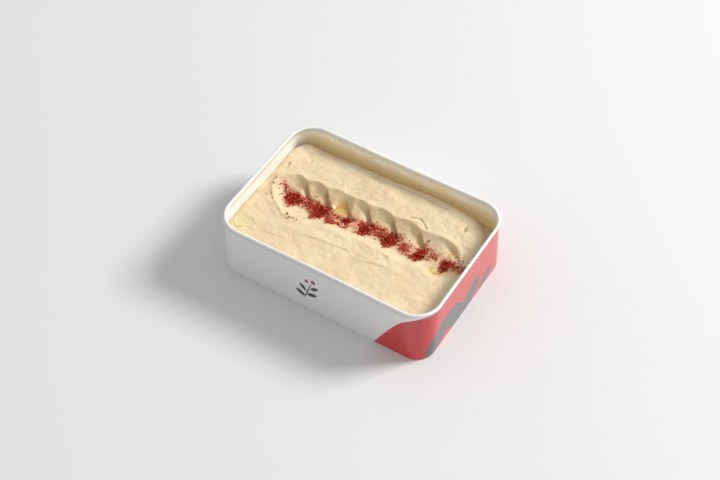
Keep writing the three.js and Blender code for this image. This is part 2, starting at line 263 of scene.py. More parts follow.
def value_noise(x, y, cell, seed):
    """Smooth noise from -1 to 1 over a plane, with features about one cell wide."""
    size = 64
    table = np.random.default_rng(seed).random((size, size))
    grid_x, grid_y = x / cell, y / cell
    column = np.floor(grid_x).astype(int)
    row = np.floor(grid_y).astype(int)
    across = smooth(0, 1, grid_x - column)
    along = smooth(0, 1, grid_y - row)
    near = mix(table[column % size, row % size], table[(column + 1) % size, row % size], across)
    far = mix(table[column % size, (row + 1) % size], table[(column + 1) % size, (row + 1) % size], across)
    return 2 * mix(near, far, along) - 1


def layered_noise(x, y, cell, seed, layers=3):
    """Noise in layers, each half as wide and half as high as the one before, scaled for three of them."""
    total = np.zeros_like(x)
    for layer in range(layers):
        total += value_noise(x, y, cell / 2 ** layer, seed + layer) / 2 ** layer
    return total / (1 + 1 / 2 + 1 / 4)


def ridged(x, y, cell, seed):
    """Soft lumps with sharp creases between them, from -0.5 to 0.5."""
    return np.abs(layered_noise(x, y, cell, seed, 2)) ** 0.7 - 0.5


# The hummus surface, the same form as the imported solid's, with finer relief added below

def press_share(x, y):
    """How far a place lies across a press of the spoon, from 0 on its left ridge to 1 on its right one."""
    along = x - RIDGE_SLANT * (RIDGE_REFERENCE_Y - y)
    phase = np.interp(along, RIDGES, np.arange(len(RIDGES)))
    return phase - np.floor(phase)


def scallop(x, y):
    """0 on the ridges and 1 on each press's deepest line, near its right side."""
    share = press_share(x, y)
    falling = (share / SCALLOP_BOTTOM) ** SCALLOP_POWER
    return np.where(share < SCALLOP_BOTTOM, falling, 1 - smooth(SCALLOP_BOTTOM, 1, share))


def trough_floor_y(x):
    return mix(FLOOR_Y_LEFT, FLOOR_Y_RIGHT, smooth(*FLOOR_Y_CHANGE, x))


def trough_back_width(x):
    lip = LIP_Y - LIP_CURVE * (x - LIP_MIDDLE) ** 2
    left_end = np.clip((TROUGH_LEFT + LIP_LEFT_END - x) / LIP_LEFT_END, 0, 1)
    right_end = np.clip((x - LIP_RIGHT_X) / LIP_RIGHT_END, 0, 1)
    ends = np.sqrt(np.maximum(0, 1 - left_end ** 2)) * (1 - right_end ** 2)
    wave = SCALLOP_REACH * (np.sin(np.pi * press_share(x, lip) ** LIP_SKEW) - 0.5)
    return np.maximum(LEAST_BACK_WIDTH, (lip - trough_floor_y(x) + wave) * ends)


def near_full_width(x):
    return mix(NEAR_WIDTH_LEFT, NEAR_WIDTH_RIGHT, smooth(*NEAR_WIDTH_CHANGE, x))


def trough_relief(x, y):
    """The trough's depth below the level, and the lip's rise above it."""
    floor = trough_floor_y(x)
    left = smooth(TROUGH_LEFT, TROUGH_LEFT + TROUGH_LEFT_RUN, x)
    depth = TROUGH_DEPTH * left * (1 - smooth(*DEPTH_FADE, x))
    width = trough_back_width(x)
    share = np.clip((y - floor) / width, 0, None)
    rise = LIP_RISE * bump(y - floor - width, LIP_WIDTH) * left
    within = np.clip(share, 0, 1)
    pressed = smooth(*SCALLOP_START, within) * (1 - within ** SCALLOP_END_POWER) * left
    pressed = pressed * (1 - smooth(*SCALLOP_FADE, x))
    press = SCALLOP_DEPTH * pressed * (scallop(x, y) - SCALLOP_LIFT)
    back = rise * within ** 3 - depth * (1 - within ** BACK_CURVE) - press
    back = np.where(share >= 1, rise, back)
    end = np.clip((NEAR_END - x) / NEAR_END_LENGTH, 0, 1)
    end_width = (1 - end ** NEAR_END_POWER) ** (1 / NEAR_END_POWER)
    near_width = np.maximum(LEAST_NEAR_WIDTH, near_full_width(x) * end_width)
    near_share = np.clip((floor - y) / near_width, 0, 1)
    crisp = 1 - near_share ** NEAR_CURVE
    soft = 1 - smooth(NEAR_FLAT_SHARE, 1, near_share)
    near = -depth * mix(crisp, soft, smooth(*NEAR_SOFTENING, x))
    return np.where(y >= floor, back, near)


def end_rim_relief(x, y):
    """The ridge that the spoon pushed up round the trough's near left end, and the groove outside it."""
    across = np.maximum(0, (NEAR_END - x) / NEAR_END_LENGTH)
    forward = np.maximum(0, (trough_floor_y(x) - y) / near_full_width(x))
    reach = (across ** NEAR_END_POWER + forward ** NEAR_END_POWER) ** (1 / NEAR_END_POWER)
    outside = NEAR_END_LENGTH * (reach - 1)
    fade = (1 - smooth(*END_RIM_FADE_X, x)) * (1 - smooth(*END_RIM_FADE_Y, y))
    uneven = 0.75 + 0.5 * np.sin(0.9 * x + 0.5 * y)
    broken = 0.55 + 0.75 * value_noise(x, y, 5.0, 97)
    ridge = END_RIDGE * bump(outside - END_RIDGE_OUT, END_RIDGE_WIDTH)
    groove = END_GROOVE * broken * bump(outside - END_GROOVE_OUT, END_GROOVE_WIDTH)
    return fade * uneven * (ridge - groove)


def corner_inside(from_side, from_back, radius):
    """Distance inside the slab near a rounded corner, from the distances inside its two sides."""
    rounded = radius - np.hypot(radius - from_side, radius - from_back)
    straight = np.minimum(from_side, from_back)
    return np.where((from_side < radius) & (from_back < radius), rounded, straight)


def slab_inside(x, y):
    back = SLAB_BACK + SLAB_SWELL * bump(x - SLAB_SWELL_X, SLAB_SWELL_LENGTH) - y
    right = SLAB_RIGHT + SLAB_RIGHT_FLARE * (1 - smooth(*SLAB_RIGHT_FLARE_Y, y)) - x
    left = x - SLAB_LEFT + SLAB_LEFT_FLARE * (1 - smooth(*SLAB_LEFT_FLARE_Y, y))
    at_right = corner_inside(right, back, SLAB_BACK_CORNER)
    at_left = corner_inside(left, back, SLAB_LEFT_CORNER)
    return np.minimum(at_right, at_left)


def edge_drop(x, y):
    inside = slab_inside(x, y)
    run = np.clip(SLAB_EDGE_RADIUS - inside, 0, SLAB_EDGE_RADIUS)
    rounded = SLAB_EDGE_RADIUS - np.sqrt(SLAB_EDGE_RADIUS ** 2 - run ** 2)
    outside = np.minimum(GUTTER_DEPTH, SLAB_EDGE_RADIUS - GUTTER_SLOPE * inside)
    return np.where(inside > 0, rounded, outside)


def wall_drop(wall_gap):
    """How far the hummus rounds down where it meets the wall, by the distance to the wall."""
    return WALL_DROP * np.clip(1 - wall_gap / WALL_DROP_REACH, 0, 1) ** 2


def smear_relief(x, y):
    """Low steps that the spoon left, steep in front and fading out behind."""
    total = np.zeros_like(x)
    for (from_x, from_y), (to_x, to_y), height, length in SMEARS:
        share = (x - from_x) / (to_x - from_x)
        step = between(y - mix(from_y, to_y, share), (-0.6, 0.6), (1, length))
        total += height * between(share, (0, 0.25), (0.75, 1)) * step
    return total


def crease_relief(x, y):
    """A crack behind the flap, and a broken double crease along the slab's back."""
    from_tip = x - CRACK["x"]
    fall = np.where(from_tip < 0, -CRACK["left_fall"] * from_tip, CRACK["right_fall"] * from_tip)
    crack = CRACK["depth"] * between(from_tip, *CRACK_ENDS) * bump(y - CRACK["y"] + fall, CRACK["width"])
    crease_y = BACK_CREASE_Y + 0.7 * np.sin(x / 9) + 0.7 * value_noise(x, 0 * x, 4.0, 91)
    broken = 0.65 + 0.45 * value_noise(x, 0 * x, 6.0, 95)
    second_y = crease_y - SECOND_CREASE_GAP - 0.5 * np.sin(x / 5)
    first = between(x, *BACK_CREASE_ENDS) * bump(y - crease_y, BACK_CREASE_WIDTH)
    second = between(x, *SECOND_CREASE_ENDS) * bump(y - second_y, BACK_CREASE_WIDTH)
    return -crack - BACK_CREASE_DEPTH * broken * (first + SECOND_CREASE_SHARE * second)


def height_at(x, y):
    swell = 0.45 * np.sin(x / 31 + 1.1) * np.sin(y / 23 - 0.6) + 0.25 * np.sin(x / 13.7 + y / 17.1)
    pits = PIT_DEPTH * sum(mound(x, y, *pit) for pit in PITS)
    hollow = WALL_HOLLOW_DEPTH * mound(x, y, *WALL_HOLLOW)
    flap = FLAP_HEIGHT * mound(x, y, *FLAP)
    raised = swell + smear_relief(x, y) + flap + crease_relief(x, y) + end_rim_relief(x, y)
    return LEVEL + raised + trough_relief(x, y) - pits - hollow - edge_drop(x, y)


def fine_relief(x, y):
    """Soft lumps, folds, streaks and small grain. A noise call ends in its cell, seed and layers."""
    warp_x = x + 3.0 * layered_noise(x, y, 11.0, 81, 2)
    warp_y = y + 3.0 * layered_noise(x, y, 11.0, 85, 2)
    patches = smooth(-0.1, 0.8, value_noise(x, y, 24, 93))
    broad = layered_noise(x / 1.4, y - 0.15 * x, 14.0, 21, 2)
    lumps = 0.7 * layered_noise(x / 1.3, y - 0.2 * x, 6.0, 25, 2)
    folds = (0.3 + 0.3 * patches) * ridged(warp_x / 1.5, warp_y + 0.25 * warp_x, 5.5, 45)
    rough = 0.10 + 0.24 * smooth(28, 62, x) + 0.26 * patches + 0.12 * smooth(22, 30, y)
    small_folds = rough * ridged(warp_x + 0.35 * warp_y, warp_y - 0.6 * warp_x, 3.2, 49)
    streaks = 0.07 * layered_noise(x / 3, y + 0.25 * x, 2.2, 11)
    grain = 0.08 * layered_noise(x, y, 1.7, 31, 2)
    return broad + lumps + folds + small_folds + streaks + grain


def painted_hollow_shade(x, y):
    """Painted shade, darker in hollows: in pits, in the crack and the double crease along the slab's back,
    along the trough's creases and round its near left end.
    """
    pits = sum(mound(x, y, pit_x, pit_y, 0.9 * length, 0.9 * width) for pit_x, pit_y, length, width in PITS)
    behind = (y - trough_floor_y(x)) / trough_back_width(x)
    in_back = between(behind, (0.0, 0.3), (0.75, 1.0)) * smooth(-74, -62, x) * (1 - 0.8 * smooth(54, 70, x))
    creases = bump(press_share(x, y) - CREASE_PLACE, CREASE_WIDTH) * in_back
    crack = np.clip(-crease_relief(x, y) / CRACK["depth"], 0, 1)
    groove = np.clip(-end_rim_relief(x, y) / END_GROOVE, 0, 1)
    groove_line_shade = mound(x, y, *GROOVE_LINE_SHADE) * (0.7 + 0.6 * value_noise(x, y, 1.8, 99))
    total = PIT_TINT * pits + CREASE_TINT * creases + CRACK_TINT * crack + END_GROOVE_TINT * groove
    total += GROOVE_LINE_TINT * groove_line_shade + LEFT_END_TINT * mound(x, y, *LEFT_END_SHADE)
    return np.clip(total, 0, 1)


# Outlines of the tub in plan

def plan_at(inset, z):
    """The outline's corner radius at a height, and half the length of its straight sides along x and y."""
    corner = mix(FOOT_CORNER, RIM_CORNER, z / TUB_HEIGHT) - inset
    return corner, TUB_LENGTH / 2 - inset - corner, TUB_WIDTH / 2 - inset - corner


def pinch_at(x, straight_x, z):
    share = np.clip(np.abs(x) / straight_x, 0, 1)
    return SIDE_PINCH * z / TUB_HEIGHT * np.cos(np.pi / 2 * share) ** 2


def half_length_at(y, inset, z):
    corner, straight_x, straight_y = plan_at(inset, z)
    beyond = np.clip(np.abs(y) - straight_y, 0, corner)
    return straight_x + np.sqrt(np.maximum(0, corner ** 2 - beyond ** 2))


def outline(inset, z, corner_steps=20, side_steps=24):
    """The tub's outline at a height, anticlockwise from the +X side, by an inset from the rim's edge."""
    corner, straight_x, straight_y = plan_at(inset, z)
    points = []
    for quarter, (side_x, side_y) in enumerate([(1, 1), (-1, 1), (-1, -1), (1, -1)]):
        for step in range(corner_steps + 1):
            angle = (quarter + step / corner_steps) * math.pi / 2
            x = side_x * straight_x + corner * math.cos(angle)
            y = side_y * straight_y + corner * math.sin(angle)
            points.append((x, y, z))
        along_x = side_x * side_y > 0
        steps = side_steps if along_x else side_steps // 2
        end = points[-1]
        for step in range(1, steps):
            share = step / steps
            if along_x:
                x = mix(side_x * straight_x, -side_x * straight_x, share)
                y = side_y * (straight_y + corner - pinch_at(x, straight_x, z))
                points.append((x, y, z))
            else:
                points.append((end[0], mix(side_y * straight_y, -side_y * straight_y, share), z))
    return points


# Mesh helpers

def linked(name, data):
    thing = bpy.data.objects.new(name, data)
    scene.collection.objects.link(thing)
    return thing


def new_object(name, vertices, faces, smooth_shading=True):
    mesh = bpy.data.meshes.new(name)
    mesh.from_pydata((np.asarray(vertices, float) * MM).tolist(), [], faces)
    mesh.update()
    if smooth_shading:
        mesh.polygons.foreach_set("use_smooth", [True] * len(mesh.polygons))
    return linked(name, mesh)


def ring_faces(rings, count, closed):
    faces = []
    steps = rings if closed else rings - 1
    for ring in range(steps):
        following = (ring + 1) % rings
        for i in range(count):
            j = (i + 1) % count
            faces.append((ring * count + i, ring * count + j, following * count + j, following * count + i))
    return faces


def add_values(piece, name, values):
    """Gives each vertex a value, which the piece's material reads by its name."""
    attribute = piece.data.attributes.new(name, "FLOAT", "POINT")
    attribute.data.foreach_set("value", np.asarray(values, np.float32))


# Node helpers

class Nodes:
    """A material's node tree, with short calls for the nodes that this file uses."""

    INPUTS = {
        "colour": "Base Color", "roughness": "Roughness", "ior": "IOR", "specular": "Specular IOR Level",
        "subsurface": "Subsurface Weight", "subsurface_scale": "Subsurface Scale",
        "subsurface_radius": "Subsurface Radius", "coat": "Coat Weight", "coat_roughness": "Coat Roughness",
    }

    def __init__(self, name):
        self.material = bpy.data.materials.new(name)
        self.material.use_nodes = True
        self.tree = self.material.node_tree
        self.shader = self.tree.nodes["Principled BSDF"]

    def add(self, kind, **settings):
        node = self.tree.nodes.new(kind)
        for key, value in settings.items():
            setattr(node, key, value)
        return node

    def link(self, source, target):
        self.tree.links.new(source, target)

    def put(self, socket, value):
        if isinstance(value, bpy.types.NodeSocket):
            self.link(value, socket)
        else:
            socket.default_value = value

    def math(self, operation, a, b=0.0, clamp=False):
        node = self.add("ShaderNodeMath", operation=operation, use_clamp=clamp)
        self.put(node.inputs[0], a)
        self.put(node.inputs[1], b)
        return node.outputs[0]

    def times(self, a, b):
        return self.math("MULTIPLY", a, b)

    def ramp(self, value, low, high, to_low=0.0, to_high=1.0):
        node = self.add("ShaderNodeMapRange", interpolation_type="SMOOTHSTEP")
        inputs = {"Value": value, "From Min": low, "From Max": high, "To Min": to_low, "To Max": to_high}
        for name, part in inputs.items():
            self.put(node.inputs[name], part)
        return node.outputs["Result"]

    def blend(self, share, a, b):
        node = self.add("ShaderNodeMix", data_type="RGBA")
        self.put(node.inputs["Factor"], share)
        self.put(node.inputs["A"], (*a, 1) if isinstance(a, tuple) else a)
        self.put(node.inputs["B"], (*b, 1) if isinstance(b, tuple) else b)
        return node.outputs["Result"]

    def place(self):
        return self.add("ShaderNodeTexCoord").outputs["Object"]

    def split(self, vector):
        node = self.add("ShaderNodeSeparateXYZ")
        self.link(vector, node.inputs[0])
        return node.outputs

    def noise(self, vector, scale, detail=3.0, roughness=0.5, stretch=(1, 1, 1)):
        mapping = self.add("ShaderNodeMapping")
        self.link(vector, mapping.inputs["Vector"])
        mapping.inputs["Scale"].default_value = stretch
        node = self.add("ShaderNodeTexNoise")
        self.link(mapping.outputs[0], node.inputs["Vector"])
        for name, part in {"Scale": scale, "Detail": detail, "Roughness": roughness}.items():
            node.inputs[name].default_value = part
        return node.outputs[0]

    def attribute(self, name):
        return self.add("ShaderNodeAttribute", attribute_name=name).outputs["Fac"]

    def bump(self, height, distance, strength=1.0):
        node = self.add("ShaderNodeBump")
        self.link(height, node.inputs["Height"])
        node.inputs["Distance"].default_value = distance
        node.inputs["Strength"].default_value = strength
        self.link(node.outputs[0], self.shader.inputs["Normal"])

    def set(self, **values):
        for key, value in values.items():
            value = (*value, 1) if key == "colour" and isinstance(value, tuple) else value
            self.put(self.shader.inputs[self.INPUTS[key]], value)


# Hummus's colours: the cream with its streaks and specks, and the strength and colour of each stain and
# painted shade in turn
CREAM = (0.83, 0.70, 0.475)
WARM_CREAM = (0.80, 0.655, 0.415)
LIGHT_CREAM = (0.865, 0.74, 0.52)
SPECK = (0.70, 0.52, 0.30)
STAINS = [
    # Painted shade: warmer, darker cream on the trough's shaded back
    ("trough_back_shade", 1.0, (0.82, 0.61, 0.335)),
    # Painted shade in the hollows
    ("hollow_shade", 1.0, (0.46, 0.28, 0.12)),
    ("oil_stain", 0.85, (0.79, 0.47, 0.16)),
    ("veil_stain", 0.8, (0.77, 0.32, 0.20)),
    ("core_stain", 0.85, (0.38, 0.025, 0.010)),
    ("corner_oil", 0.6, (0.78, 0.70, 0.33)),
]


def hummus_material():
    """Moist cream, glossier where oil has soaked it."""
    n = Nodes("hummus")
    place = n.place()
    wide = n.noise(place, 34, 3, 0.55, (1, 1.5, 1))
    streaks = n.noise(place, 150, 4, 0.6, (0.75, 1.1, 1))
    fine = n.noise(place, 900, 2, 0.6)
    colour = n.blend(n.ramp(wide, 0.35, 0.68), CREAM, WARM_CREAM)
    colour = n.blend(n.ramp(streaks, 0.45, 0.75, 0, 0.5), colour, LIGHT_CREAM)
    colour = n.blend(n.ramp(fine, 0.64, 0.8, 0, 0.35), colour, SPECK)
    shares = {name: n.attribute(name) for name, _, _ in STAINS}
    # Stains, and painted shade in the hollows and on the trough's shaded back
    for name, strength, stain_colour in STAINS:
        colour = n.blend(n.times(shares[name], strength), colour, stain_colour)
    wet = n.math("MAXIMUM", shares["oil_stain"], shares["corner_oil"])
    n.set(colour=colour, roughness=n.ramp(wet, 0, 1, 0.46, 0.2), ior=1.42)
    n.set(subsurface=0.35, subsurface_radius=(1.0, 0.6, 0.3), subsurface_scale=0.003)
    n.bump(n.math("ADD", n.times(streaks, 0.5), n.times(fine, 0.5)), 0.0003, 0.6)
    return n.material


def oil_material(name, deep, pale):
    n = Nodes(name)
    place = n.place()
    cloud = n.noise(place, 260, 3)
    n.set(colour=n.blend(n.ramp(cloud, 0.3, 0.7), deep, pale), roughness=0.24, ior=1.42)
    n.set(subsurface=0.5, subsurface_scale=0.002, subsurface_radius=(1, 0.6, 0.2))
    n.bump(n.noise(place, 400, 2), 0.0002, 0.3)
    return n.material


def pepper_material(name, dark, light):
    n = Nodes(name)
    tone = n.attribute("tone")
    grain = n.noise(n.place(), 1500, 2)
    colour = n.blend(n.math("ADD", tone, n.ramp(grain, 0.3, 0.7, -0.25, 0.25), True), dark, light)
    n.set(colour=colour, roughness=0.7, specular=0.04)
    n.set(subsurface=0.15, subsurface_scale=0.0005, subsurface_radius=(1, 0.1, 0.05))
    n.bump(grain, 0.0001, 0.5)
    return n.material


# Board's inside: the white coating and a tan band above the hummus, strong at the back wall and weak
# elsewhere: a grease smear, and on the shaded back wall painted warm shade
COATED_WHITE = (0.90, 0.885, 0.865)
SMEAR_AND_SHADE = (0.875, 0.77, 0.615)
SMEAR_AND_SHADE_HEIGHTS = (LEVEL + 1, LEVEL + 9)
SMEAR_AND_SHADE_SHARES = (0.08, 0.9)
BACK_WALL_Y = (0.045, 0.055)


def board_inside_material():
    """White coated board that glows a little, with a tan band above the hummus's level: grease, and painted
    warm shade on the back wall.
    """
    n = Nodes("board_inside")
    place = n.place()
    _, y, z = n.split(place)
    patches = n.noise(place, 60, 4, 0.6, (1, 1, 2.2))
    edge = n.math("ADD", n.times(z, 1 / MM), n.ramp(patches, 0.2, 0.8, -4, 4))
    share = n.ramp(n.ramp(y, *BACK_WALL_Y), 0, 1, *SMEAR_AND_SHADE_SHARES)
    # A grease smear, and painted warm shade where the band is strong on the back wall
    smear_and_shade = n.times(n.ramp(edge, *SMEAR_AND_SHADE_HEIGHTS, 1, 0), share)
    colour = n.blend(smear_and_shade, COATED_WHITE, SMEAR_AND_SHADE)
    n.set(colour=colour, roughness=n.ramp(smear_and_shade, 0, 1, 0.42, 0.3), coat=0.15, coat_roughness=0.3)
    n.set(subsurface=0.7, subsurface_scale=0.0016, subsurface_radius=(1.0, 0.8, 0.55))
    n.bump(n.noise(place, 700, 2), 0.00008, 0.3)
    return n.material


def board_rim_material():
    n = Nodes("board_rim")
    fibre = n.noise(n.place(), 400)
    n.set(colour=n.blend(fibre, (0.90, 0.895, 0.875), (0.94, 0.935, 0.92)), roughness=0.45)
    n.bump(fibre, 0.0001, 0.3)
    return n.material


def board_base_material():
    n = Nodes("board_base")
    fibre = n.noise(n.place(), 260, 5, 0.65)
    n.set(colour=n.blend(fibre, (0.80, 0.79, 0.765), (0.88, 0.875, 0.85)), roughness=0.7)
    n.bump(fibre, 0.00012, 0.5)
    return n.material


# The print on the outside. Along is the distance round the tub from the middle of the +X end, in
# millimetres, positive towards the back and negative towards the front. Up is the height above the foot.
# The field climbs from the foot at its front end to a little under the rim
FIELD_FRONT_END = -92.0
FIELD_CLIMB_END = -52.0
FIELD_CLIMB_POWER = 0.55
FIELD_TOP = TUB_HEIGHT - 3.4
FIELD_BACK_END = 84.0
INK_EDGE = 0.15
LEAF_EDGE = 0.12
RED_INK = (0.59, 0.022, 0.025)
RED_INK_GAIN = 1.12
GREY_INK = (0.10, 0.10, 0.104)
CHARCOAL_INK = (0.03, 0.03, 0.032)
BERRY_INK = (0.42, 0.02, 0.05)

# Leaves of the print: the middle, the angle from level in radians, the length and the width
GREY_LEAVES = [
    ((-39.0, 13.0), 0.75, 34, 19),
    ((-17.0, 12.0), 2.45, 38, 20),
    ((6.0, 11.0), 0.65, 34, 17),
    ((28.0, 8.0), 0.45, 22, 9),
]
SPRIG_LEAVES = [
    ((-145.5, 20.0), 1.25, 22, 1.0),
    ((-151.5, 15.5), 2.6, 9, 3.8),
    ((-142.0, 17.5), 0.35, 9, 3.8),
    ((-149.5, 22.5), 2.35, 8.5, 3.4),
    ((-140.0, 25.0), 0.55, 8, 3.2),
]
BERRIES = [((-141.0, 32.0), 0, 3.8, 3.8), ((-146.5, 30.5), 0, 3.2, 3.2)]


def leaf(n, along, up, centre, angle, length, width):
    """1 inside a leaf, the overlap of two circles. As wide as it is long, it is one circle."""
    radius = (length ** 2 + width ** 2) / (4 * width)
    shift = radius - width / 2
    turn_cos, turn_sin = math.cos(angle), math.sin(angle)
    across_leaf = n.math("SUBTRACT", along, centre[0])
    up_leaf = n.math("SUBTRACT", up, centre[1])
    lengthways = n.math("ADD", n.times(across_leaf, turn_cos), n.times(up_leaf, turn_sin))
    across = n.math("SUBTRACT", n.times(up_leaf, turn_cos), n.times(across_leaf, turn_sin))
    offset = n.math("ADD", n.math("ABSOLUTE", across), shift)
    distance = n.math("SQRT", n.math("ADD", n.math("POWER", lengthways, 2), n.math("POWER", offset, 2)))
    return n.ramp(distance, radius - LEAF_EDGE, radius + LEAF_EDGE, 1, 0)


def any_leaf(n, along, up, leaves):
    """1 inside any of the leaves."""
    masks = [leaf(n, along, up, *each) for each in leaves]
    total = masks[0]
    for mask in masks[1:]:
        total = n.math("MAXIMUM", total, mask)
    return total


def board_print_material():
    """White coated board with a red field and grey leaves at the +X end and a small sprig in front."""
    n = Nodes("board_print")
    place = n.place()
    uv = n.add("ShaderNodeUVMap", uv_map="print")
    along, up, _ = n.split(uv.outputs[0])
    along = n.times(along, 1 / MM)
    up = n.times(up, 1 / MM)
    climb = n.math("POWER", n.ramp(along, FIELD_FRONT_END, FIELD_CLIMB_END, 0, 1), FIELD_CLIMB_POWER)
    under_top = n.ramp(n.math("SUBTRACT", n.times(climb, FIELD_TOP), up), -INK_EDGE, INK_EDGE)
    back_side = n.ramp(along, FIELD_BACK_END - INK_EDGE, FIELD_BACK_END + INK_EDGE, 1, 0)
    front_side = n.ramp(along, FIELD_FRONT_END, FIELD_FRONT_END + 2 * INK_EDGE)
    field = n.times(n.times(under_top, back_side), front_side)
    board = n.blend(n.noise(place, 300, 4, 0.6), (0.84, 0.845, 0.845), (0.87, 0.872, 0.87))
    ink = n.blend(n.noise(place, 500, 3), RED_INK, tuple(RED_INK_GAIN * part for part in RED_INK))
    colour = n.blend(field, board, ink)
    colour = n.blend(n.times(any_leaf(n, along, up, GREY_LEAVES), field), colour, GREY_INK)
    colour = n.blend(any_leaf(n, along, up, SPRIG_LEAVES), colour, CHARCOAL_INK)
    colour = n.blend(any_leaf(n, along, up, BERRIES), colour, BERRY_INK)
    n.set(colour=colour, roughness=0.5, specular=0.25, coat=1.0, coat_roughness=0.12)
    n.bump(n.noise(place, 420, 3), 0.00005, 0.25)
    return n.material


# Tub wall: rolled rim, side wall and the three board layers of the foot

def wall_section():
    """The wall's section as (inset, height, part), up the outside, over the rim and down the inside."""
    foot_edge = [(WALL_OUTER + FOOT_FILLET, 0.0), (WALL_OUTER + FOOT_FILLET / 3, FOOT_FILLET / 3)]
    section = [(inset, height, "foot") for inset, height in foot_edge]
    section += [(WALL_OUTER, height, "print") for height in OUTSIDE_ROWS]
    opening = math.asin(BOARD / 2 / RIM_RADIUS)
    for step in range(RIM_STEPS + 1):
        angle = mix(opening, 2 * math.pi - opening, step / RIM_STEPS)
        inset = RIM_RADIUS - RIM_RADIUS * math.sin(angle)
        height = TUB_HEIGHT - RIM_RADIUS - RIM_RADIUS * math.cos(angle)
        section.append((inset, height, "rim"))
    section += [(WALL_INNER, height, "inside") for height in INSIDE_ROWS]
    hem = WALL_OUTER + FOOT_WIDTH
    foot = [
        (WALL_INNER, FOOT_HEIGHT),
        (hem - HEM_FILLET, FOOT_HEIGHT),
        (hem, FOOT_HEIGHT - HEM_FILLET),
        (hem, HEM_ROW),
        (hem, FOOT_FILLET),
        (hem - FOOT_FILLET / 3, FOOT_FILLET / 3),
        (hem - FOOT_FILLET, 0.0),
    ]
    for layer in (2, 1):
        middle = WALL_OUTER + layer * BOARD
        foot += [(middle + SLIT_WIDTH / 2, 0.0), (middle + SLIT_WIDTH / 4, SLIT_DEPTH)]
        foot += [(middle - SLIT_WIDTH / 4, SLIT_DEPTH), (middle - SLIT_WIDTH / 2, 0.0)]
    return section + [(inset, height, "foot") for inset, height in foot]


def build_tub_wall():
    section = wall_section()
    rings = [outline(inset, height) for inset, height, _ in section]
    count = len(rings[0])
    vertices = [point for ring in rings for point in ring]
    wall = new_object("tub_wall_board", vertices, ring_faces(len(rings), count, True))
    materials = {
        "print": board_print_material(), "rim": board_rim_material(),
        "inside": board_inside_material(), "foot": board_base_material(),
    }
    order = list(materials)
    for material in materials.values():
        wall.data.materials.append(material)
    for row, (_, _, part) in enumerate(section):
        following = section[(row + 1) % len(section)][2]
        chosen = "inside" if following == "inside" else part
        for i in range(count):
            wall.data.polygons[row * count + i].material_index = order.index(chosen)
    add_print_uv(wall, outline(WALL_OUTER, 0.0), count)
    return wall


def add_print_uv(wall, path, count):
    """Unrolls the wall: u is the distance round the tub from the middle of the +X end, v the height."""
    steps = [math.dist(path[i], path[(i + 1) % count]) for i in range(count)]
    start = np.cumsum([0] + steps)
    total = start[-1]
    offset = path[0][1]
    uv = wall.data.uv_layers.new(name="print")
    for polygon in wall.data.polygons:
        side = polygon.index % count
        lap = total if start[side] + steps[side] / 2 + offset > total / 2 else 0
        for loop in polygon.loop_indices:
            vertex = wall.data.loops[loop].vertex_index
            place = vertex % count
            closing = total if side == count - 1 and place == 0 else 0
            along = start[place] + closing + offset - lap
            uv.data[loop].uv = (along * MM, wall.data.vertices[vertex].co.z)


def build_tub_base():
    rings = [
        outline(WALL_INNER + BASE_BEVEL, BASE_LOW.z),
        outline(WALL_INNER + BASE_GAP, BASE_LOW.z + BASE_BEVEL_HEIGHT),
        outline(WALL_INNER + BASE_GAP, BASE_HIGH.z),
    ]
    count = len(rings[0])
    vertices = [point for ring in rings for point in ring]
    faces = ring_faces(3, count, False)
    faces.append(tuple(reversed(range(count))))
    faces.append(tuple(range(2 * count, 3 * count)))
    base = new_object("tub_base_board", vertices, faces, smooth_shading=False)
    base.data.materials.append(board_base_material())
    return base


# Where the pepper lies. A heap has a dense core, an ellipse, and a thin veil of flakes, a triangle that
# reaches left along the back and narrows to a point at the front
HEAPS = [
    dict(core=(-58.6, 1.0, 5.4, 4.2), veil=[(-73.0, 9.5), (-51.0, 7.0), (-58.4, -9.6)], weight=1.15),
    dict(core=(-35.8, 2.0, 4.2, 4.8), veil=[(-53.0, 9.0), (-29.8, 9.0), (-38.0, -8.4)], weight=1.1),
    dict(core=(-15.4, 4.6, 2.2, 2.8), veil=[(-30.0, 6.0), (-11.5, 7.0), (-26.0, -7.5)], weight=0.6),
    dict(core=(0.4, 4.6, 3.2, 4.6), veil=[(-16.0, 9.0), (5.2, 11.5), (0.0, -3.8)], weight=0.95),
    dict(core=(19.4, 5.6, 4.8, 4.0), veil=[(2.5, 10.0), (27.0, 12.5), (21.0, -4.4)], weight=1.15),
    dict(core=(44.4, 4.0, 3.4, 4.4), veil=[(29.0, 7.0), (49.5, 12.0), (45.4, -4.4)], weight=1.0),
    dict(core=(66.6, 2.4, 2.8, 3.4), veil=[(59.5, 7.0), (72.0, 8.0), (66.0, -4.8)], weight=0.6),
]
# Thin bridges of flakes between the heaps: two ends, a width and a weight
BRIDGES = [
    ((-52.5, 3.5), (-43.0, 1.5), 4.2, 0.7),
    ((-30.0, 3.0), (-25.5, -5.0), 2.6, 0.6),
    ((-26.0, -3.6), (-13.0, -2.2), 2.2, 0.6),
    ((-13.0, 2.4), (-4.0, 3.4), 5.0, 1.6),
    ((4.0, 7.6), (13.0, 7.0), 4.0, 1.0),
    ((28.5, 5.6), (41.0, 1.4), 4.4, 1.5),
    ((47.5, 5.0), (58.0, 6.5), 3.8, 0.5),
    ((63.5, 8.0), (63.5, -6.0), 2.8, 0.35),
    ((70.0, 4.0), (79.5, 3.0), 3.8, 0.7),
    ((44.8, 12.0), (45.0, 16.5), 0.9, 0.08),
]
# Where the oil has kept flakes away: the centre, half-length, half-width and the share that is gone
BARE_PLACES = [(-24.2, 10.8, 4.0, 3.2, 1.0), (-20.5, 1.2, 3.2, 2.4, 0.75), (62.8, -3.6, 4.0, 2.6, 0.6)]
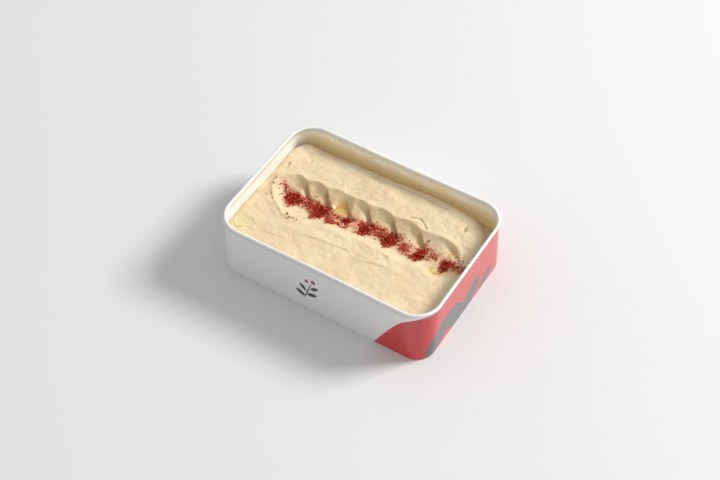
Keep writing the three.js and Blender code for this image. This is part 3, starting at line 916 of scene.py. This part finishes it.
# Single dark flakes round the trough's left end
STRAYS = [
    (-77.5, 8.2), (-76.1, 2.8), (-74.7, -8.8), (-72.5, -6.4), (-68.9, -9.8),
    (-70.5, 9.5), (-72.0, 6.2), (-67.5, 8.2), (-52.8, -15.4), (-51.4, -16.4),
    (-48.8, -18.9), (-48.2, -18.0), (-46.6, -17.0), (-43.2, -17.7), (-40.5, -12.0),
]
STRAY_SIZE = 1.15
# Loose flakes along the trough: where they begin and end, and how far they spread from a line by its floor
LOOSE_X = (-72, 80)
LOOSE_OUT = 1.0
LOOSE_SPREAD = 4.6
# No flake lies nearer to the tub's ends than this
FLAKES_X = (-80, 81)
# Kinds of flake: name, count, size, thickness, sides, darkest and lightest colour, and the shares that lie in
# the cores, on the bridges and loose. The rest lie in the veils
DARK_FLAKES = "pepper_flakes_dark"
KINDS = [
    (DARK_FLAKES, 1150, 0.72, 0.28, 7, (0.13, 0.003, 0.001), (0.26, 0.008, 0.003), (0.60, 0.08, 0.02)),
    ("pepper_flakes_red", 2300, 0.60, 0.25, 7, (0.30, 0.008, 0.003), (0.54, 0.03, 0.014), (0.34, 0.20, 0.03)),
    ("pepper_flakes_bright", 1700, 0.50, 0.22, 7, (0.62, 0.12, 0.06), (0.84, 0.38, 0.22), (0.15, 0.34, 0.05)),
    ("pepper_grains", 5000, 0.27, 0.25, 5, (0.32, 0.014, 0.007), (0.62, 0.11, 0.05), (0.10, 0.34, 0.11)),
]
# Where oil has soaked the hummus beside the pools: the centre, half-length, half-width and strength
OIL_STAINS = [
    (-20.5, 1.2, 5.0, 3.2, 0.8),
    (-23.0, 15.5, 4.0, 4.5, 0.5),
    (65.5, 15.5, 3.6, 5.0, 0.75),
    (63.0, 0.5, 3.0, 5.0, 0.6),
    (39.0, 13.5, 3.4, 3.0, 0.6),
    (44.5, 0.5, 5.0, 5.0, 0.35),
]
CORNER_STAIN = (-75.5, -38.0, 9.0, 10.0)


def core_density(x, y):
    """How near a place is to the middle of a heap's core, from 0 to 1."""
    total = np.zeros_like(x)
    for heap in HEAPS:
        total += 1 - smooth(0.5, 1.5, ellipse_share(x, y, *heap["core"]))
    return np.clip(total, 0, 1)


def veil_density(x, y):
    """1 inside a veil's triangle, with soft edges."""
    total = np.zeros_like(x)
    for heap in HEAPS:
        inside = np.full_like(x, np.inf)
        corners = heap["veil"]
        for (from_x, from_y), (to_x, to_y) in zip(corners, corners[1:] + corners[:1]):
            run_x, run_y = to_x - from_x, to_y - from_y
            distance = ((x - from_x) * run_y - (y - from_y) * run_x) / math.hypot(run_x, run_y)
            inside = np.minimum(inside, distance)
        total += smooth(-3.0, 1.6, inside)
    return np.clip(total, 0, 1)


def bridge_density(x, y):
    total = np.zeros_like(x)
    for (from_x, from_y), (to_x, to_y), width, weight in BRIDGES:
        run_x, run_y = to_x - from_x, to_y - from_y
        along = np.clip(((x - from_x) * run_x + (y - from_y) * run_y) / (run_x ** 2 + run_y ** 2), 0, 1)
        aside = np.hypot(x - from_x - along * run_x, y - from_y - along * run_y)
        total += min(1, weight) * bump(aside, width)
    return 0.8 * np.clip(total, 0, 1)


# Pools of oil

def pool_shape(name):
    """A pool's centre, top, half-length, half-width and depth, from its box in the frame."""
    low, high = (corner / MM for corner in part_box(name))
    middle = (low + high) / 2
    return middle.x, middle.y, high.z, (high.x - low.x) / 2, (high.y - low.y) / 2, high.z - low.z


def basin_at(name, x, y, gap):
    """0 at a pool's centre and 1 on its outline with a gap added, and the height of the hummus outside it."""
    pool_x, pool_y, top, length, width, _ = pool_shape(name)
    share = ellipse_share(x, y, pool_x, pool_y, length + gap, width + gap)
    return share, top + POOLS[name] * (share - 1) * (length + width) / 2


def ground_at(x, y):
    """The height that a flake lies on: the hummus, or a pool's top inside a pool."""
    z = height_at(x, y)
    for name in POOLS:
        share, basin = basin_at(name, x, y, 0)
        z = np.where(share < 1, pool_shape(name)[2] - 0.1, np.minimum(z, basin))
    return z


def with_basins(x, y, z):
    """The hummus's height with a bowl pressed into it for each pool."""
    for name in POOLS:
        share, basin = basin_at(name, x, y, POOL_GAP)
        _, _, top, _, _, depth = pool_shape(name)
        bowl = top - (depth + 0.1) * np.sqrt(np.clip(1 - share ** 2, 0, 1)) + 0.02
        z = np.minimum(z, np.where(share < 1, bowl, basin))
    return z


def pool_height(name, side, share):
    """The height of a pool's top or its underside at a share of the way out to its edge."""
    _, _, top, _, _, depth = pool_shape(name)
    if side == "top":
        return top - POOL_SINK + POOL_CURL * max(0, (share - POOL_CURL_FROM) / (1 - POOL_CURL_FROM)) ** 2
    return top - POOL_EDGE - (depth + 0.05) * math.sqrt(max(0, 1 - (share / 1.02) ** 2))


def build_pool(name, material):
    """A pool with a flat top that curls up a little where it meets the hummus."""
    pool_x, pool_y, top, length, width, depth = pool_shape(name)
    rings = [("underside", ring) for ring in range(1, POOL_RINGS + 1)]
    rings += [("top", ring) for ring in range(POOL_RINGS, 0, -1)]
    vertices = []
    for side, ring in rings:
        share = ring / POOL_RINGS
        for k in range(POOL_SEGMENTS):
            angle = 2 * math.pi * k / POOL_SEGMENTS
            wobble = 1 + 0.02 * math.sin(3 * angle + pool_x) + 0.012 * math.sin(5 * angle + pool_y)
            x = pool_x + (length + POOL_REACH) * share * wobble * math.cos(angle)
            y = pool_y + (width + POOL_REACH) * share * wobble * math.sin(angle)
            vertices.append((x, y, pool_height(name, side, share)))
    faces = ring_faces(len(rings), POOL_SEGMENTS, False)
    low = len(vertices)
    last = low - POOL_SEGMENTS
    vertices += [(pool_x, pool_y, top - depth - 0.13), (pool_x, pool_y, top - 0.05)]
    for k in range(POOL_SEGMENTS):
        j = (k + 1) % POOL_SEGMENTS
        faces += [(low, j, k), (low + 1, last + k, last + j)]
    pool = new_object(name + "_pool", vertices, faces)
    for polygon in pool.data.polygons:
        polygon.use_smooth = polygon.normal.z > 0.2
    pool.data.materials.append(material)
    return pool


def oil_stain(x, y):
    """How much oil has soaked the hummus: thinly under the veils, and more beside the pools."""
    total = 0.25 * veil_density(x, y) * (0.5 + 0.5 * layered_noise(x, y, 5, 67))
    for *place, strength in OIL_STAINS:
        total += strength * mound(x, y, *place)
    for name in ("oil_middle", "oil_right_front"):
        pool_x, pool_y, _, length, width, _ = pool_shape(name)
        total += 1.2 * mound(x, y, pool_x, pool_y, 1.5 * length, 1.5 * width)
    return np.clip(total * (1 + 0.4 * layered_noise(x, y, 3.5, 61)), 0, 1)


# Hummus

def hummus_values(x, y):
    """What the hummus's material reads at each place of its top."""
    mottle = 0.5 + 0.5 * layered_noise(x, y, 2.4, 51, 3)
    behind = y - trough_floor_y(x)
    back_side = smooth(-4, 3, behind) * (1 - smooth(-2, 1, behind - trough_back_width(x)))
    thin = np.maximum(veil_density(x, y), bridge_density(x, y))
    uneven = np.clip(0.8 + 0.5 * layered_noise(x, y, 4, 71), 0, 1)
    return {
        # Painted shade in the hollows
        "hollow_shade": painted_hollow_shade(x, y),
        # Painted shade: warmer, darker cream on the trough's shaded back
        "trough_back_shade": 0.45 * back_side * between(x, (-76, -66), (15, 60)),
        "core_stain": np.clip(core_density(x, y) * (0.7 + 0.6 * mottle), 0, 1),
        "veil_stain": np.clip(thin * (0.35 + 1.2 * mottle), 0, 1),
        "oil_stain": oil_stain(x, y),
        "corner_oil": mound(x, y, *CORNER_STAIN) * uneven,
    }


def build_hummus():
    """The hummus: a grid for its top, drawn to the wall's outline, with sides and a flat underside."""
    inset = WALL_INNER - WALL_REACH
    half_width = TUB_WIDTH / 2 - inset
    t = np.linspace(-1, 1, HUMMUS_ROWS + 1)
    y_row = half_width * (0.6 * t + 0.4 * np.sin(np.pi / 2 * t))
    grid_u, grid_y = np.meshgrid(np.linspace(-1, 1, HUMMUS_COLUMNS + 1), y_row)
    half_length = half_length_at(grid_y, inset, LEVEL)
    x = half_length * grid_u
    _, straight_x, _ = plan_at(inset, LEVEL)
    y = grid_y - np.sign(grid_y) * pinch_at(x, straight_x, LEVEL) * np.abs(grid_y) / half_width
    wall_gap = np.minimum(half_width - np.abs(grid_y), half_length - np.abs(x))
    z = with_basins(x, y, height_at(x, y) + fine_relief(x, y) - wall_drop(wall_gap))
    index = np.arange(x.size).reshape(x.shape)
    quads = np.stack([index[:-1, :-1], index[:-1, 1:], index[1:, 1:], index[1:, :-1]], -1)
    faces = quads.reshape(-1, 4).tolist()
    edge = np.concatenate([index[0, :-1], index[:-1, -1], index[-1, :0:-1], index[:0:-1, 0]])
    floor_z = BASE_HIGH.z + BASE_REACH
    shrink = half_length_at(y_row, inset, floor_z) / half_length_at(y_row, inset, LEVEL)
    below_x = x.reshape(-1)[edge] * shrink[edge // (HUMMUS_COLUMNS + 1)]
    below = np.stack([below_x, grid_y.reshape(-1)[edge], np.full(len(edge), floor_z)], -1)
    base = x.size
    for k in range(len(edge)):
        following = (k + 1) % len(edge)
        faces.append((int(edge[following]), int(edge[k]), base + k, base + following))
    faces.append(tuple(base + k for k in reversed(range(len(edge)))))
    top = np.stack([x, y, z], -1).reshape(-1, 3)
    hummus = new_object("hummus_dip", np.vstack([top, below]), faces)
    for name, values in hummus_values(x, y).items():
        add_values(hummus, name, np.concatenate([values.reshape(-1), np.zeros(len(below))]))
    hummus.data.materials.append(hummus_material())
    return hummus


# Pepper flakes

def turn(points, spin, about_x, about_y):
    c, s = math.cos(spin), math.sin(spin)
    points = points @ np.array([[c, s, 0], [-s, c, 0], [0, 0, 1]])
    c, s = math.cos(about_x), math.sin(about_x)
    points = points @ np.array([[1, 0, 0], [0, c, s], [0, -s, c]])
    c, s = math.cos(about_y), math.sin(about_y)
    return points @ np.array([[c, 0, -s], [0, 1, 0], [s, 0, c]])


def surface_slope(x, y):
    heights = height_at(np.array([x, x + 1, x]), np.array([y, y, y + 1]))
    return heights[1] - heights[0], heights[2] - heights[0]


def flake_points(size, thickness, sides, rng):
    """A thin, curled plate with an uneven edge: its upper middle, its two rims and its lower middle."""
    radii = size * rng.uniform(0.55, 1.1, sides)
    squeeze = rng.uniform(0.45, 0.95)
    start = rng.uniform(0, 2 * np.pi, 1)
    uneven = rng.uniform(-0.25, 0.25, sides)
    angles = np.sort(start + np.arange(sides) * 2 * np.pi / sides + uneven)
    flat_x = radii * np.cos(angles)
    flat_y = squeeze * radii * np.sin(angles)
    curl = rng.uniform(-0.35, 0.5) * size
    thick = thickness * rng.uniform(0.7, 1.4)
    rim = np.stack([flat_x, flat_y, curl * (flat_x / size) ** 2], 1)
    middle = np.array([0, 0, thick / 2])
    half = np.array([0, 0, thick / 3])
    return np.vstack([middle, rim + half, rim - half, -middle])


def flake_mesh(name, places, sizes, rng, thickness, sides):
    """Flakes, each tilted about the slope of the hummus where it lies, joined into one mesh."""
    vertices, faces, tones = [], [], []
    for (x, y, lift), size in zip(places, sizes):
        local = flake_points(size, thickness, sides, rng)
        tilt = rng.normal(0, 0.38, 2)
        spin = rng.uniform(0, 2 * np.pi)
        slope_x, slope_y = surface_slope(x, y)
        turned = turn(local, spin, tilt[0] + math.atan(slope_y), tilt[1] - math.atan(slope_x))
        first = len(vertices)
        vertices += (turned + [x, y, lift]).tolist()
        top, bottom = first + 1, first + 1 + sides
        for k in range(sides):
            j = (k + 1) % sides
            faces.append((first, top + k, top + j))
            faces.append((top + k, bottom + k, bottom + j, top + j))
            faces.append((first + 1 + 2 * sides, bottom + j, bottom + k))
        tones += [rng.uniform(0, 1)] * len(local)
    piece = new_object(name, vertices, faces, smooth_shading=False)
    add_values(piece, "tone", tones)
    return piece


def in_triangle(corners, rng):
    """A place in a triangle, denser towards its right side."""
    (left_x, left_y), (right_x, right_y), (point_x, point_y) = corners
    forward = rng.beta(1.25, 1.55)
    aside = rng.beta(2.0, 1.1)
    back_x, back_y = mix(left_x, right_x, aside), mix(left_y, right_y, aside)
    return mix(back_x, point_x, forward), mix(back_y, point_y, forward)


def draw_place(heap, rng, core_share, bridge_share, loose_share):
    """One flake's place: loose in the trough, on a bridge, in the heap's core or in its veil."""
    draw = rng.random()
    if draw < loose_share:
        x = rng.uniform(*LOOSE_X)
        return x, float(trough_floor_y(np.array(x))) + LOOSE_OUT + rng.normal(0, LOOSE_SPREAD)
    if draw < loose_share + bridge_share:
        weights = np.array([weight for *_, weight in BRIDGES])
        start, end, width, _ = BRIDGES[rng.choice(len(BRIDGES), p=weights / weights.sum())]
        along = rng.random()
        return mix(start[0], end[0], along), mix(start[1], end[1], along) + width * rng.normal(0, 0.55)
    if draw < loose_share + bridge_share + core_share:
        core_x, core_y, radius_x, radius_y = heap["core"]
        return core_x + radius_x * rng.normal(0, 0.6), core_y + radius_y * rng.normal(0, 0.6)
    return in_triangle(heap["veil"], rng)


def scatter(count, rng, shares):
    """Places for flakes, by the heaps' weights, and each one's height."""
    weights = np.array([heap["weight"] for heap in HEAPS])
    chosen = rng.choice(len(HEAPS), count, p=weights / weights.sum())
    points = np.array([draw_place(HEAPS[index], rng, *shares) for index in chosen])
    points += rng.normal(0, 0.7, points.shape)
    points[:, 0] = np.clip(points[:, 0], *FLAKES_X)
    kept = np.ones(count, bool)
    for *ellipse, share in BARE_PLACES:
        reach = ellipse_share(points[:, 0], points[:, 1], *ellipse)
        kept &= (reach > rng.uniform(0.6, 1.1, count)) | (rng.random(count) > share)
    points = points[kept]
    ground = ground_at(points[:, 0], points[:, 1])
    pile = core_density(points[:, 0], points[:, 1])
    lift = ground + rng.uniform(0, 1, len(points)) ** 1.5 * 1.2 * pile ** 2 + 0.12
    return np.column_stack([points, lift])


def build_flakes():
    rng = np.random.default_rng(20)
    pieces = []
    for name, count, size, thickness, sides, dark, light, shares in KINDS:
        places = scatter(count, rng, shares)
        if name == DARK_FLAKES:
            strays = np.array(STRAYS)
            ground = ground_at(strays[:, 0], strays[:, 1]) + 0.15
            places = np.vstack([places, np.column_stack([strays, ground])])
        sizes = size * rng.uniform(0.6, 1.35, len(places))
        if name == DARK_FLAKES:
            sizes[-len(STRAYS):] *= STRAY_SIZE
        piece = flake_mesh(name, places, sizes, rng, thickness, sides)
        piece.data.materials.append(pepper_material(name, dark, light))
        pieces.append(piece)
    return pieces


# Floor, lights and camera

def build_floor():
    corners = [(-1, -1), (1, -1), (1, 1), (-1, 1)]
    floor = new_object("floor", [(FLOOR_HALF * x, FLOOR_HALF * y, 0) for x, y in corners], [(0, 1, 2, 3)])
    n = Nodes("floor")
    # Painted shade, faint: broad noise makes parts of the floor a little darker
    colour = n.blend(n.noise(n.place(), 3, 2), (0.785, 0.80, 0.815), (0.805, 0.82, 0.83))
    n.set(colour=colour, roughness=0.6, specular=0.3)
    floor.data.materials.append(n.material)


def face_away(thing, direction):
    """Turns a light or a camera so that its back is towards a direction."""
    thing.rotation_mode = "QUATERNION"
    thing.rotation_quaternion = direction.to_track_quat("Z", "Y")


def build_lights():
    data = bpy.data.lights.new("key", "AREA")
    data.shape = "SQUARE"
    data.size = LIGHT_SIZE * MM
    data.energy = LIGHT_POWER
    data.color = LIGHT_COLOUR
    key = linked("key", data)
    turn_angle, rise = math.radians(LIGHT_ANGLE), math.radians(LIGHT_ELEVATION)
    level = Vector((math.cos(turn_angle), math.sin(turn_angle), 0))
    towards = level * math.cos(rise) + Vector((0, 0, math.sin(rise)))
    key.location = towards * LIGHT_DISTANCE * MM
    face_away(key, towards)
    world = bpy.data.worlds.new("sky")
    scene.world = world
    world.use_nodes = True
    background = world.node_tree.nodes["Background"]
    background.inputs["Color"].default_value = SKY_COLOUR
    background.inputs["Strength"].default_value = SKY_STRENGTH


def build_camera():
    turn_angle, rise = math.radians(CAMERA_AZIMUTH), math.radians(CAMERA_ELEVATION)
    right = Vector((math.cos(turn_angle), math.sin(turn_angle), 0))
    forward = Vector((-math.sin(turn_angle), math.cos(turn_angle), 0))
    up = forward * math.sin(rise) + Vector((0, 0, math.cos(rise)))
    back = right.cross(up)
    data = bpy.data.cameras.new("camera")
    data.sensor_width = SENSOR
    data.lens = LENS_PIXELS / FRAME_PIXELS * SENSOR
    data.clip_start = 0.05
    data.clip_end = 20
    camera = linked("camera", data)
    camera.location = (right * CAMERA_RIGHT + up * CAMERA_UP + back * CAMERA_DISTANCE) * MM
    face_away(camera, back)
    scene.camera = camera


build_camera()
build_lights()
build_floor()

oils = {
    "oil_middle": oil_material("amber_oil", (0.72, 0.45, 0.14), (0.79, 0.55, 0.21)),
    "oil_right_front": oil_material("golden_oil", (0.78, 0.57, 0.24), (0.84, 0.66, 0.34)),
    "oil_corner": oil_material("pale_oil", (0.79, 0.69, 0.40), (0.81, 0.695, 0.43)),
}
dressed = [
    (build_tub_wall(), "tub_wall", "board"),
    (build_tub_base(), "tub_base", "base_board"),
    (build_hummus(), "hummus", "hummus"),
]
dressed += [(build_pool(name, material), name, "oil") for name, material in oils.items()]
for piece, node, slot in dressed:
    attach(piece, "root")
    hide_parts(node)

for flakes in build_flakes():
    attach(flakes, "root")

scene.view_settings.view_transform = "Standard"
